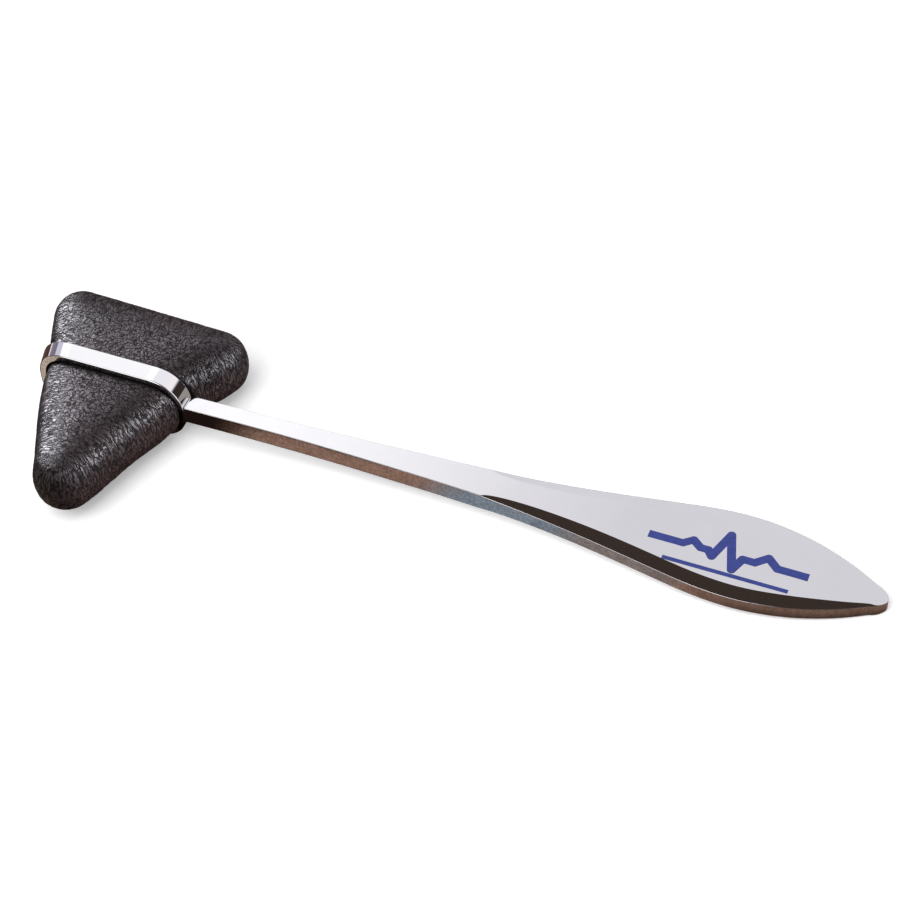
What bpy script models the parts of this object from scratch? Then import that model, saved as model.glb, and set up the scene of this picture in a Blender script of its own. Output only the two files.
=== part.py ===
"""Reflex hammer, Taylor pattern: rubber head, chromed loop, chromed handle.

Metres, +Z up. X runs along the handle from head to point, Y across it,
Z is normal to the wide faces. The origin is the centre of the loop's
lower outer face; the handle's axis lies above it at CENTRE_Z.
The loop's handle end is at +X and its far end at -X.
"""
import math

import bmesh
import bpy
from mathutils import Matrix, Vector

MM = 0.001
QUARTER_TURN = math.pi / 2.0

# Loop: a flat strip bent to a rounded rectangle in the XZ plane
LOOP_HALF_LENGTH = 17.95 * MM
LOOP_HALF_HEIGHT = 8.6 * MM
LOOP_OUTER_RADIUS = 7.5 * MM
LOOP_CORNER_STEPS = 14
STRIP_THICKNESS = 1.7 * MM
STRIP_WIDTH = 4.4 * MM
STRIP_EDGE_ROUND = 0.25 * MM
FAR_END_SHIFT = -0.35 * MM  # along X
FAR_END_SLANT = 0.275  # shift towards -X per unit of Y

CENTRE_Z = LOOP_HALF_HEIGHT

# Clearance left between neighbouring solids
CLEARANCE = 0.3 * MM

# Rubber head: rounded isosceles triangle, base on +Y, apex on -Y
HEAD_CENTRE_X = 1.25 * MM
HEAD_HALF_BASE = 24.0 * MM
HEAD_BASE_Y = 22.1 * MM
HEAD_APEX_Y = -33.75 * MM
HEAD_BASE_CORNER_RADIUS = 6.8 * MM
HEAD_APEX_RADIUS = 6.9 * MM
HEAD_BASE_SKEW = 0.03
BASE_CORNER_STEPS = 16
APEX_STEPS = 20
BASE_STEPS = 13
FLANK_STEPS = 26

# Rounded edge of the head, a superelliptic shoulder cut off by the flat faces
HEAD_HALF_THICKNESS = 7.1 * MM
HEAD_SHOULDER_DEPTH = 12.0 * MM
HEAD_SHOULDER_POWER = 5.29
HEAD_FLAT_INSET = 6.4 * MM
RINGS_PER_HALF = 9

# Pinch of the flanks beside the loop
PINCH_HANDLE_SIDE = 1.95 * MM
PINCH_HANDLE_APEX_SIDE = 1.25 * MM
PINCH_HANDLE_REACH = 4.3 * MM
PINCH_FAR_SIDE = 0.6 * MM
PINCH_FAR_REACH = 2.3 * MM

# Shallow dip in the flanks nearer the apex; a negative dip swells
DIP_HANDLE_SIDE = 1.05 * MM
DIP_FAR_SIDE = -0.55 * MM
DIP_Y = -13.6 * MM
DIP_REACH = 9.0 * MM

# Pinch and dip fade out towards the apex and the base corners
FADE_LENGTH = 3.0 * MM
FADE_BASE_SHARE = 0.6  # fade ends this share of the corner radius below the base

# Groove in the head for the loop
GROOVE_HALF_WIDTH = STRIP_WIDTH / 2.0 + CLEARANCE
GROOVE_OVERCUT = 6.0 * MM  # how far the cutter stands outside the loop
GROOVE_CORNER_STEPS = 12

# Handle: neck, blade with bevelled margins. Lengths along it start at the loop
HANDLE_LENGTH = 158.2 * MM
HANDLE_HALF_THICKNESS = 2.2 * MM
HANDLE_BOW = 0.8 * MM  # towards +Y at mid length
THINNING = 0.8 * MM
THINNING_START = 136.0 * MM
ROOT_CHAMFER_WIDTH = 0.75 * MM
ROOT_CHAMFER_LENGTH = 1.6 * MM
LEAST_HALF_WIDTH = 0.2 * MM
POINT_NARROWING = 0.28  # share taken off the elliptic end at the very point

BEVEL_WIDTH = 3.0 * MM
BEVEL_LEAST_WIDTH = 0.05 * MM
BEVEL_MOST_SHARE = 0.6  # of the handle's half width
BEVEL_SLOPE = 0.217
BEVEL_START = 70.5 * MM
BEVEL_RUN_IN = 38.0 * MM
BEVEL_RUN_IN_POWER = 0.45
BEVEL_END = 156.5 * MM
BEVEL_RUN_OUT = 22.0 * MM
BEVEL_RUN_OUT_POWER = 0.7

# Spacing of the handle's sections: finer around the bevel's start
SECTION_STEP = 2.5 * MM
FINE_STEP = 0.5 * MM
FINE_BEFORE_BEVEL = 1.0 * MM
FINE_AFTER_BEVEL = 5.0 * MM
POINT_LENGTH = 6.0 * MM  # even spacing stops at the first section within this of the point
POINT_STEPS = 12

# Tenon through the loop, with a peened head inside it
SHOULDER_X = LOOP_HALF_LENGTH + CLEARANCE
TENON_RADIUS = 1.0 * MM
PEEN_RADIUS = 1.7 * MM
PEEN_THICKNESS = 0.8 * MM
PEEN_RIM_SHARE = 0.55  # of the thickness, before the chamfer
PEEN_FACE_SHARE = 0.6  # radius of the end face over that of the peen
PEEN_X = LOOP_HALF_LENGTH - STRIP_THICKNESS - CLEARANCE
TENON_SEGMENTS = 32
BORE_SEGMENTS = 40

# Handle outline in millimetres: (distance from the loop, half width)
HANDLE_OUTLINE_MM = [
    (0.0, 2.05), (20.0, 2.12), (32.0, 2.33), (40.0, 2.56), (48.0, 2.86),
    (56.0, 3.17), (64.0, 3.52), (72.0, 4.02), (80.0, 4.78), (88.0, 5.8),
    (96.0, 7.0), (104.0, 8.35), (112.0, 9.75), (118.0, 10.7), (124.0, 11.22),
    (129.0, 11.2), (134.0, 10.65), (140.0, 9.4), (146.0, 7.4), (151.0, 5.2),
    (155.0, 3.0),
]
HANDLE_STATIONS = [(x * MM, width * MM) for x, width in HANDLE_OUTLINE_MM]


# ------------------------------------------------------------- helpers

def clear_scene():
    for obj in list(bpy.data.objects):
        bpy.data.objects.remove(obj, do_unlink=True)


def make_material(name, colour, roughness, metallic):
    material = bpy.data.materials.new(name)
    material.use_nodes = True
    inputs = material.node_tree.nodes["Principled BSDF"].inputs
    inputs["Base Color"].default_value = (*colour, 1.0)
    inputs["Roughness"].default_value = roughness
    inputs["Metallic"].default_value = metallic
    return material


def add_object(name, shape):
    """Turn a bmesh into an object in the scene."""
    bmesh.ops.recalc_face_normals(shape, faces=shape.faces)
    mesh = bpy.data.meshes.new(name)
    shape.to_mesh(mesh)
    shape.free()
    obj = bpy.data.objects.new(name, mesh)
    bpy.context.scene.collection.objects.link(obj)
    return obj


def add_piece(name, shape, material, smooth_angle):
    """Add a visible object, smooth except at edges sharper than the angle in degrees."""
    obj = add_object(name, shape)
    obj.data.materials.append(material)
    for face in obj.data.polygons:
        face.use_smooth = True
    obj.data.set_sharp_from_angle(angle=math.radians(smooth_angle))
    return obj


def cut_away(target, cutters):
    """Subtract the cutters, apply all the target's modifiers and remove the cutters."""
    for cutter in cutters:
        modifier = target.modifiers.new("cut_" + cutter.name, "BOOLEAN")
        modifier.operation = "DIFFERENCE"
        modifier.solver = "EXACT"
        modifier.object = cutter
    depsgraph = bpy.context.evaluated_depsgraph_get()
    mesh = bpy.data.meshes.new_from_object(target.evaluated_get(depsgraph))
    uncut = target.data
    target.modifiers.clear()
    target.data = mesh
    mesh.name = target.name
    bpy.data.meshes.remove(uncut)
    for cutter in cutters:
        bpy.data.objects.remove(cutter, do_unlink=True)


def add_ring(shape, points):
    return [shape.verts.new(point) for point in points]


def bridge(shape, rings):
    """Join each closed ring of vertices to the next with quads."""
    for ring, following in zip(rings, rings[1:]):
        for i in range(len(ring)):
            j = (i + 1) % len(ring)
            shape.faces.new((ring[i], ring[j], following[j], following[i]))


def ring_edges(shape, ring):
    return [
        shape.edges.get((ring[i], ring[(i + 1) % len(ring)]))
        for i in range(len(ring))
    ]


def clamp(value):
    return min(1.0, max(0.0, value))


def bell(distance, reach):
    return math.exp(-((distance / reach) ** 2))


# ---------------------------------------------------------------- loop

def loop_curve(offset, steps):
    """Closed curve in XZ, the loop's outer face moved outwards by the offset.

    The third value is 1 on the far end and 0 on the handle end.
    """
    radius = LOOP_OUTER_RADIUS + offset
    corner_x = LOOP_HALF_LENGTH - LOOP_OUTER_RADIUS
    corner_z = LOOP_HALF_HEIGHT - LOOP_OUTER_RADIUS
    points = []
    for quarter, (side_x, side_z) in enumerate(((1, 1), (-1, 1), (-1, -1), (1, -1))):
        for i in range(steps + 1):
            angle = math.radians(90.0 * quarter + 90.0 * i / steps)
            points.append((
                side_x * corner_x + radius * math.cos(angle),
                CENTRE_Z + side_z * corner_z + radius * math.sin(angle),
                1.0 if side_x < 0 else 0.0,
            ))
    return points


def band_shape(outer_offset, inner_offset, half_width, steps):
    """Closed band between two offsets of the loop's outer face.

    The far end is slanted, as the strip lies along the head's sloping flank.
    """
    outer = loop_curve(outer_offset, steps)
    inner = loop_curve(inner_offset, steps)
    shape = bmesh.new()
    rings = []
    for curve, y in (
        (outer, -half_width), (outer, half_width), (inner, half_width), (inner, -half_width),
    ):
        slant = FAR_END_SHIFT - FAR_END_SLANT * y
        rings.append(add_ring(shape, [(x + far * slant, y, z) for x, z, far in curve]))
    bridge(shape, rings + rings[:1])
    return shape


def add_bore(name, radius, start_x, end_x):
    """Cutter: a closed cylinder along the handle's axis."""
    shape = bmesh.new()
    turn = Matrix.Rotation(QUARTER_TURN, 4, "Y")
    move = Matrix.Translation(((start_x + end_x) / 2.0, 0.0, CENTRE_Z))
    bmesh.ops.create_cone(
        shape, cap_ends=True, cap_tris=False, segments=BORE_SEGMENTS,
        radius1=radius, radius2=radius, depth=end_x - start_x, matrix=move @ turn,
    )
    return add_object(name, shape)


def build_loop(material):
    band = band_shape(0.0, -STRIP_THICKNESS, STRIP_WIDTH / 2.0, LOOP_CORNER_STEPS)
    loop = add_piece("head_loop", band, material, smooth_angle=35.0)
    soften = loop.modifiers.new("edge_round", "BEVEL")
    soften.width = STRIP_EDGE_ROUND
    soften.segments = 2
    soften.limit_method = "ANGLE"
    soften.angle_limit = math.radians(50.0)
    hole = add_bore(
        "tenon_hole",
        radius=TENON_RADIUS + CLEARANCE,
        start_x=LOOP_HALF_LENGTH - 2.0 * STRIP_THICKNESS,
        end_x=LOOP_HALF_LENGTH + STRIP_THICKNESS,
    )
    cut_away(loop, [hole])


# --------------------------------------------------------- rubber head

def arc(centre, radius, start, end, steps):
    angles = [start + (end - start) * i / steps for i in range(steps + 1)]
    return [
        Vector((centre.x + radius * math.cos(angle), centre.y + radius * math.sin(angle)))
        for angle in angles
    ]


def triangle():
    """Rounded triangle in XY, anticlockwise from the +X flank's upper end."""
    base_radius, apex_radius = HEAD_BASE_CORNER_RADIUS, HEAD_APEX_RADIUS
    base = Vector((HEAD_HALF_BASE - base_radius, HEAD_BASE_Y - base_radius))
    apex = Vector((0.0, HEAD_APEX_Y + apex_radius))
    along = base - apex
    lean = math.asin((base_radius - apex_radius) / along.length)

    # Directions in which the two flanks face
    flank = math.atan2(along.y, along.x) - QUARTER_TURN - lean
    far_flank = math.pi - flank
    far_base = Vector((-base.x, base.y))
    arcs = [
        arc(base, base_radius, flank, QUARTER_TURN, BASE_CORNER_STEPS),
        arc(far_base, base_radius, QUARTER_TURN, far_flank, BASE_CORNER_STEPS),
        arc(apex, apex_radius, far_flank, 2.0 * math.pi + flank, APEX_STEPS),
    ]
    points = []
    for i, steps in enumerate((BASE_STEPS, FLANK_STEPS, FLANK_STEPS)):
        start, end = arcs[i][-1], arcs[(i + 1) % 3][0]
        points += arcs[i]
        points += [start.lerp(end, k / steps) for k in range(1, steps)]
    return points


def squeeze(point):
    """Draw in the flank where the loop squeezes the rubber, and skew the base."""
    x, y = point
    if x > 0.0:
        turn = clamp(y / STRIP_WIDTH + 0.5)
        turn = turn * turn * (3.0 - 2.0 * turn)
        pinch = PINCH_HANDLE_APEX_SIDE + (PINCH_HANDLE_SIDE - PINCH_HANDLE_APEX_SIDE) * turn
        reach, dip = PINCH_HANDLE_REACH, DIP_HANDLE_SIDE
    else:
        pinch, reach, dip = PINCH_FAR_SIDE, PINCH_FAR_REACH, DIP_FAR_SIDE
    away = max(0.0, abs(y) - GROOVE_HALF_WIDTH)
    shift = pinch * bell(away, reach) + dip * bell(y - DIP_Y, DIP_REACH)
    fade_top = HEAD_BASE_Y - FADE_BASE_SHARE * HEAD_BASE_CORNER_RADIUS
    fade = clamp((y - HEAD_APEX_Y - HEAD_APEX_RADIUS) / FADE_LENGTH)
    fade *= clamp((fade_top - y) / FADE_LENGTH)
    skew = HEAD_BASE_SKEW * x * clamp(y / HEAD_BASE_Y)
    return Vector((x - math.copysign(shift * fade, x), y - skew))


def outward_normals(outline):
    normals = []
    for i in range(len(outline)):
        tangent = outline[(i + 1) % len(outline)] - outline[i - 1]
        normals.append(Vector((tangent.y, -tangent.x)).normalized())
    return normals


def head_shape():
    """Stack of rings, widest at mid height, closed by two flat faces."""
    outline = [squeeze(point) for point in triangle()]
    normals = outward_normals(outline)
    power = HEAD_SHOULDER_POWER
    top_rise = math.sqrt(1.0 - (1.0 - HEAD_FLAT_INSET / HEAD_SHOULDER_DEPTH) ** power)
    shape = bmesh.new()
    rings = []
    for k in range(-RINGS_PER_HALF, RINGS_PER_HALF + 1):
        rise = top_rise * math.sin(QUARTER_TURN * k / RINGS_PER_HALF)
        inset = HEAD_SHOULDER_DEPTH * (1.0 - (1.0 - rise * rise) ** (1.0 / power))
        z = CENTRE_Z + HEAD_HALF_THICKNESS * rise
        rings.append(add_ring(shape, [
            (HEAD_CENTRE_X + point.x - normal.x * inset, point.y - normal.y * inset, z)
            for point, normal in zip(outline, normals)
        ]))
    bridge(shape, rings)
    shape.faces.new(rings[0])
    shape.faces.new(rings[-1])
    return shape


def build_head(material):
    head = add_piece("rubber_head", head_shape(), material, smooth_angle=40.0)
    groove = add_object("groove", band_shape(
        GROOVE_OVERCUT, -STRIP_THICKNESS - CLEARANCE, GROOVE_HALF_WIDTH, GROOVE_CORNER_STEPS,
    ))
    pocket = add_bore(
        "peen_pocket",
        radius=PEEN_RADIUS + CLEARANCE,
        start_x=PEEN_X - PEEN_THICKNESS - CLEARANCE,
        end_x=LOOP_HALF_LENGTH,
    )
    cut_away(head, [groove, pocket])


# -------------------------------------------------------------- handle

def station_slope(i):
    """Slope of the outline at a station, level at the loop."""
    if i == 0:
        return 0.0
    before = HANDLE_STATIONS[i - 1]
    after = HANDLE_STATIONS[min(len(HANDLE_STATIONS) - 1, i + 1)]
    return (after[1] - before[1]) / (after[0] - before[0])


def half_width(x):
    """Smooth cubic curve through the stations, closed by a round point."""
    last_x, last_width = HANDLE_STATIONS[-1]
    if x >= last_x:
        t = (HANDLE_LENGTH - x) / (HANDLE_LENGTH - last_x)
        ellipse = math.sqrt(max(0.0, 1.0 - (1.0 - t) ** 2))
        return last_width * ellipse * (1.0 - POINT_NARROWING * (1.0 - t))
    i = next(i for i in range(len(HANDLE_STATIONS)) if x <= HANDLE_STATIONS[i + 1][0])
    start_x, start_width = HANDLE_STATIONS[i]
    end_x, end_width = HANDLE_STATIONS[i + 1]
    span = end_x - start_x
    t = (x - start_x) / span
    return (
        (2 * t**3 - 3 * t**2 + 1) * start_width
        + (t**3 - 2 * t**2 + t) * span * station_slope(i)
        + (-2 * t**3 + 3 * t**2) * end_width
        + (t**3 - t**2) * span * station_slope(i + 1)
    )


def bevel_margin(x):
    """Width of the bevelled margin: a quick run-in, an even width, a run-out."""
    if not BEVEL_START < x < BEVEL_END:
        return BEVEL_LEAST_WIDTH
    run_in = math.sin(QUARTER_TURN * clamp((x - BEVEL_START) / BEVEL_RUN_IN))
    run_out = math.sin(QUARTER_TURN * clamp((BEVEL_END - x) / BEVEL_RUN_OUT))
    grow = run_in ** BEVEL_RUN_IN_POWER * run_out ** BEVEL_RUN_OUT_POWER
    return max(BEVEL_LEAST_WIDTH, BEVEL_WIDTH * grow)


def handle_section(x):
    """Eight corners of the bar's section, as (y, z) from the handle's axis."""
    width = max(half_width(x), LEAST_HALF_WIDTH)
    margin = min(bevel_margin(x), BEVEL_MOST_SHARE * width)
    thin = max(0.0, (x - THINNING_START) / (HANDLE_LENGTH - THINNING_START))
    top = HANDLE_HALF_THICKNESS - THINNING * thin * thin
    edge = top - BEVEL_SLOPE * margin
    chamfer = ROOT_CHAMFER_WIDTH * max(0.0, 1.0 - x / ROOT_CHAMFER_LENGTH)
    along = x / HANDLE_LENGTH
    middle = HANDLE_BOW * 4.0 * along * (1.0 - along)
    high_y, low_y = middle + width - chamfer, middle - width
    upper = [(high_y, edge), (high_y - margin, top), (low_y + margin, top), (low_y, edge)]
    return upper + [(y, -z) for y, z in reversed(upper)]


def section_places():
    """Distances of the sections from the loop, crowding towards the point."""
    places = [0.0, ROOT_CHAMFER_LENGTH]
    fine_start = BEVEL_START - FINE_BEFORE_BEVEL
    fine_end = BEVEL_START + FINE_AFTER_BEVEL
    while places[-1] < HANDLE_LENGTH - POINT_LENGTH:
        fine = fine_start < places[-1] < fine_end
        places.append(places[-1] + (FINE_STEP if fine else SECTION_STEP))
    start = places[-1]
    for i in range(1, POINT_STEPS + 1):
        places.append(start + (HANDLE_LENGTH - start) * math.sin(QUARTER_TURN * i / POINT_STEPS))
    return places


def add_bar(shape):
    """Add the bar, open at the shoulder, and return its first ring."""
    rings = []
    for x in section_places():
        # The first section stands clear of the loop
        bar_x = SHOULDER_X if x == 0.0 else LOOP_HALF_LENGTH + x
        section = handle_section(x)
        rings.append(add_ring(shape, [(bar_x, y, CENTRE_Z + z) for y, z in section]))
    bridge(shape, rings)
    shape.faces.new(rings[-1])
    return rings[0]


def add_tenon(shape):
    """Add the tenon and peen, open at the shoulder, and return the first ring."""
    angles = [2.0 * math.pi * i / TENON_SEGMENTS for i in range(TENON_SEGMENTS)]
    profile = (
        (SHOULDER_X, TENON_RADIUS),
        (PEEN_X, TENON_RADIUS),
        (PEEN_X, PEEN_RADIUS),
        (PEEN_X - PEEN_RIM_SHARE * PEEN_THICKNESS, PEEN_RADIUS),
        (PEEN_X - PEEN_THICKNESS, PEEN_FACE_SHARE * PEEN_RADIUS),
    )
    rings = [
        add_ring(shape, [
            (x, radius * math.cos(angle), CENTRE_Z + radius * math.sin(angle))
            for angle in angles
        ])
        for x, radius in profile
    ]
    bridge(shape, rings)
    shape.faces.new(rings[-1])
    return rings[0]


def build_handle(material):
    """Bar, shoulder, tenon and peen, all one solid."""
    shape = bmesh.new()
    bar_ring = add_bar(shape)
    tenon_ring = add_tenon(shape)
    shoulder = ring_edges(shape, bar_ring) + ring_edges(shape, tenon_ring)
    bmesh.ops.triangle_fill(shape, edges=shoulder, use_beauty=True, use_dissolve=False)
    add_piece("handle", shape, material, smooth_angle=20.0)


def main():
    clear_scene()
    build_handle(make_material(
        "polished_chrome", colour=(0.80, 0.80, 0.82), roughness=0.07, metallic=1.0))
    build_loop(make_material(
        "polished_chrome_band", colour=(0.80, 0.80, 0.81), roughness=0.08, metallic=1.0))
    build_head(make_material(
        "black_brown_rubber", colour=(0.030, 0.025, 0.025), roughness=0.48, metallic=0.0))


main()
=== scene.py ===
import math

import bmesh
import bpy
import numpy as np
from mathutils import Matrix, Vector


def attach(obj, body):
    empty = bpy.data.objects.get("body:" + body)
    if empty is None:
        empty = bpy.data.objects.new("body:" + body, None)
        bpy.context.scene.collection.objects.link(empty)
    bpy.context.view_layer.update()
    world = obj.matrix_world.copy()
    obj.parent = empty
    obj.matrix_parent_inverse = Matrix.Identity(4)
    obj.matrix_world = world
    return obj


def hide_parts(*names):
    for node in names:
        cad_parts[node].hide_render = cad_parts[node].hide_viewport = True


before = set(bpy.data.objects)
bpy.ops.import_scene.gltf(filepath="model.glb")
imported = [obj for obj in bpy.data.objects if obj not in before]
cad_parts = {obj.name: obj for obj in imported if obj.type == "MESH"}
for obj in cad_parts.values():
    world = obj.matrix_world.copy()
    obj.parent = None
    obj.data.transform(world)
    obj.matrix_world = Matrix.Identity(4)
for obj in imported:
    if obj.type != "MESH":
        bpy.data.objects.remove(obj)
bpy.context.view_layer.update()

MM = 0.001

# The loop: half length, half height and outer corner radius; then the strip it is bent from
LOOP_X, LOOP_Z, LOOP_R = 17.95, 8.6, 7.5
STRIP_T, STRIP_W = 1.7, 4.4
STRIP_EDGE_R = 0.28
FAR_SHIFT, FAR_SLANT = -0.35, 0.275  # the -X end: its shift in x, and x lost per mm of y
CZ = LOOP_Z  # height of the handle's centre line above the loop's lower flat

# The head: centre x, half base, base and apex y, corner radii, skew of the base
HEAD_X, HEAD_HALF, HEAD_TOP_Y, HEAD_APEX_Y = 1.25, 24.0, 22.1, -33.75
R_BASE, R_APEX, BASE_SKEW = 6.8, 6.9, 0.03
HEAD_H, HEAD_BULGE = 7.1, 4.7  # half height, and how far the flank bulges out
SHOULDER, SHOULDER_POWER = 12.0, 5.29  # width and squareness of the shoulders
LEAN = 0.20  # how far shading normals lean outward on the flats
# The flanks draw in beside the strip: depth at +X (base part, apex part) and at -X
PINCH_RIGHT, PINCH_APEX_SIDE, PINCH_LEFT = 1.95, 1.25, 0.6
REACH_RIGHT, REACH_LEFT = 4.3, 2.3
DIP_RIGHT, DIP_LEFT, DIP_Y, DIP_REACH = 1.05, -0.55, -13.6, 9.0  # a broad dip in each side
GROOVE_GAP = 0.14  # clearance between the strip and the rubber
VOXEL = 0.255

# The handle: length, half thickness, sideways bow, and its thinning beyond THIN_X
BAR_L, BAR_T, BAR_BOW = 158.2, 2.2, 0.8
THINNING, THIN_X = 0.8, 136.0
CHAMFER_W, CHAMFER_L = 0.75, 1.6  # cut from the +Y corner at the root
CORNER_SOFTNESS = 0.10
# The bevel along both edges: width, slope, where it starts and ends, lengths of its run-outs
BEVEL_W, BEVEL_SLOPE = 3.0, 0.217
BEVEL_X0, BEVEL_IN, BEVEL_X1, BEVEL_OUT = 70.5, 38.0, 156.5, 22.0
BEVEL_MIN = 0.02
# Distance from the root, half width
STATIONS = [
    (0.0, 2.05), (20.0, 2.12), (32.0, 2.33), (40.0, 2.56), (48.0, 2.86), (56.0, 3.17),
    (64.0, 3.52), (72.0, 4.02), (80.0, 4.78), (88.0, 5.8), (96.0, 7.0), (104.0, 8.35),
    (112.0, 9.75), (118.0, 10.7), (124.0, 11.22), (129.0, 11.2), (134.0, 10.65),
    (140.0, 9.4), (146.0, 7.4), (151.0, 5.2), (155.0, 3.0),
]

# The printed mark: its origin from the handle's root, its lines as (x, y), their widths
MARK_X, MARK_Y = 107.0, -0.6
TRACE_W, RULE_W = 1.9, 0.9
TRACE = [
    (0.0, 0.0), (7.5, 0.0), (9.4, 1.5), (11.3, 0.0), (13.0, 0.0), (14.1, -1.4), (16.4, 5.4),
    (19.0, -3.4), (20.4, 0.0), (23.0, 0.0), (25.4, 2.1), (27.8, 0.0), (34.5, 0.0),
]
RULE = [(4.5, -5.0), (31.5, -5.0)]


# ---------------------------------------------------------- mesh helpers

def mesh_from(name, verts, faces, smooth=True):
    mesh = bpy.data.meshes.new(name)
    mesh.from_pydata([tuple(v) for v in np.asarray(verts, float) * MM], [], faces)
    mesh.validate()
    if smooth:
        mesh.polygons.foreach_set("use_smooth", [True] * len(mesh.polygons))
    obj = bpy.data.objects.new(name, mesh)
    bpy.context.scene.collection.objects.link(obj)
    return obj


def solid(name, verts, faces, smooth=True):
    """A closed mesh whose faces all point outward."""
    obj = mesh_from(name, verts, faces, smooth)
    work = bmesh.new()
    work.from_mesh(obj.data)
    bmesh.ops.recalc_face_normals(work, faces=work.faces)
    work.to_mesh(obj.data)
    work.free()
    return obj


def sheet(name, corners):
    return mesh_from(name, corners, [(0, 1, 2, 3)], smooth=False)


def loft(rings, close_path=False):
    """Skin a list of (n, 3) closed sections; an open path gets a cap at each end."""
    size, count = len(rings[0]), len(rings)
    faces = []
    for k in range(count if close_path else count - 1):
        here, there = k * size, ((k + 1) % count) * size
        for i in range(size):
            j = (i + 1) % size
            faces.append((here + i, here + j, there + j, there + i))
    if not close_path:
        faces.append(tuple(range(size - 1, -1, -1)))
        faces.append(tuple((count - 1) * size + i for i in range(size)))
    return np.concatenate(rings), faces


def arc(centre, radius, start, end, steps):
    return [
        (centre[0] + radius * math.cos(angle), centre[1] + radius * math.sin(angle))
        for angle in np.linspace(start, end, steps + 1)
    ]


def corner_arcs(half_a, half_b, radius, steps):
    """The four corner arcs of a rounded rectangle, in turn."""
    a, b = half_a - radius, half_b - radius
    centres = [(a, b), (-a, b), (-a, -b), (a, -b)]
    return [
        arc(centre, radius, k * math.pi / 2, (k + 1) * math.pi / 2, steps)
        for k, centre in enumerate(centres)
    ]


def ramp(value, length, start=0.0):
    """0 at start, rising to 1 over length."""
    return np.clip((value - start) / length, 0, 1)


def ease(t):
    return t * t * (3 - 2 * t)


# ----------------------------------------------------------- node helpers

class Net:
    """Short calls for building a node tree. `over` is the (low, high) input range."""

    def __init__(self, tree):
        self.tree = tree

    def node(self, kind, inputs=(), **props):
        node = self.tree.nodes.new(kind)
        for key, value in props.items():
            setattr(node, key, value)
        self.fill(node, dict(inputs))
        return node

    def fill(self, node, inputs):
        for key, value in inputs.items():
            if isinstance(value, (int, float, tuple)):
                node.inputs[key].default_value = value
            else:
                self.tree.links.new(value, node.inputs[key])

    def math(self, operation, *values):
        node = self.node("ShaderNodeMath", enumerate(values), operation=operation)
        return node.outputs[0]

    def add(self, a, b):
        return self.math("ADD", a, b)

    def minus(self, a, b):
        return self.math("SUBTRACT", a, b)

    def times(self, a, b):
        return self.math("MULTIPLY", a, b)

    def linear(self, value, start, gain):
        return self.add(start, self.times(value, gain))

    def vector(self, operation, *values):
        node = self.node("ShaderNodeVectorMath", enumerate(values), operation=operation)
        return node.outputs[1 if operation == "DOT_PRODUCT" else 0]

    def rise(self, value, over):
        """A smooth step from 0 to 1."""
        inputs = {"Value": value, "From Min": over[0], "From Max": over[1]}
        node = self.node("ShaderNodeMapRange", inputs, interpolation_type="SMOOTHSTEP")
        return node.outputs["Result"]

    def fall(self, value, over):
        return self.minus(1.0, self.rise(value, over))

    def band(self, value, rise, fall):
        return self.times(self.rise(value, rise), self.fall(value, fall))

    def remap(self, value, over, to=(0.0, 1.0)):
        inputs = {"Value": value, "From Min": over[0], "From Max": over[1],
                  "To Min": to[0], "To Max": to[1]}
        return self.node("ShaderNodeMapRange", inputs).outputs["Result"]

    def mix(self, factor, a, b, blend="MIX"):
        """a where the factor is 0, b where it is 1."""
        a, b = ((*c, 1.0) if isinstance(c, tuple) else c for c in (a, b))
        inputs = {0: factor, 6: a, 7: b}
        node = self.node("ShaderNodeMix", inputs, data_type="RGBA", blend_type=blend)
        return node.outputs[2]

    def layers(self, base, masked):
        """Lay each (mask, colour) over the last."""
        for mask, colour in masked:
            base = self.mix(mask, base, colour)
        return base

    def noise(self, vector, scale, detail, roughness=0.5, distortion=0.0, output="Fac"):
        inputs = {"Vector": vector, "Scale": scale, "Detail": detail,
                  "Roughness": roughness, "Distortion": distortion}
        return self.node("ShaderNodeTexNoise", inputs).outputs[output]

    def bump(self, height, strength, distance, normal=None):
        inputs = {"Height": height, "Strength": strength, "Distance": distance}
        if normal is not None:
            inputs["Normal"] = normal
        return self.node("ShaderNodeBump", inputs).outputs["Normal"]

    def coordinates(self, output="Object"):
        return self.node("ShaderNodeTexCoord").outputs[output]

    def normal(self):
        return self.node("ShaderNodeNewGeometry").outputs["Normal"]

    def attribute(self, name, output="Fac"):
        return self.node("ShaderNodeAttribute", attribute_name=name).outputs[output]

    def split(self, vector):
        return self.node("ShaderNodeSeparateXYZ", {0: vector}).outputs


def principled(name):
    mat = bpy.data.materials.new(name)
    mat.use_nodes = True
    return mat, Net(mat.node_tree), mat.node_tree.nodes["Principled BSDF"]


def emissive(name, colour_of):
    """A material that only glows, with the colour that colour_of(net) builds."""
    mat = bpy.data.materials.new(name)
    mat.use_nodes = True
    mat.node_tree.nodes.clear()
    net = Net(mat.node_tree)
    glow = net.node("ShaderNodeEmission", {"Color": colour_of(net)})
    net.node("ShaderNodeOutputMaterial", {"Surface": glow.outputs[0]})
    return mat


# ------------------------------------------------------------- materials

def scaled(colour, share):
    return tuple(c * share for c in colour)


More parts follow.
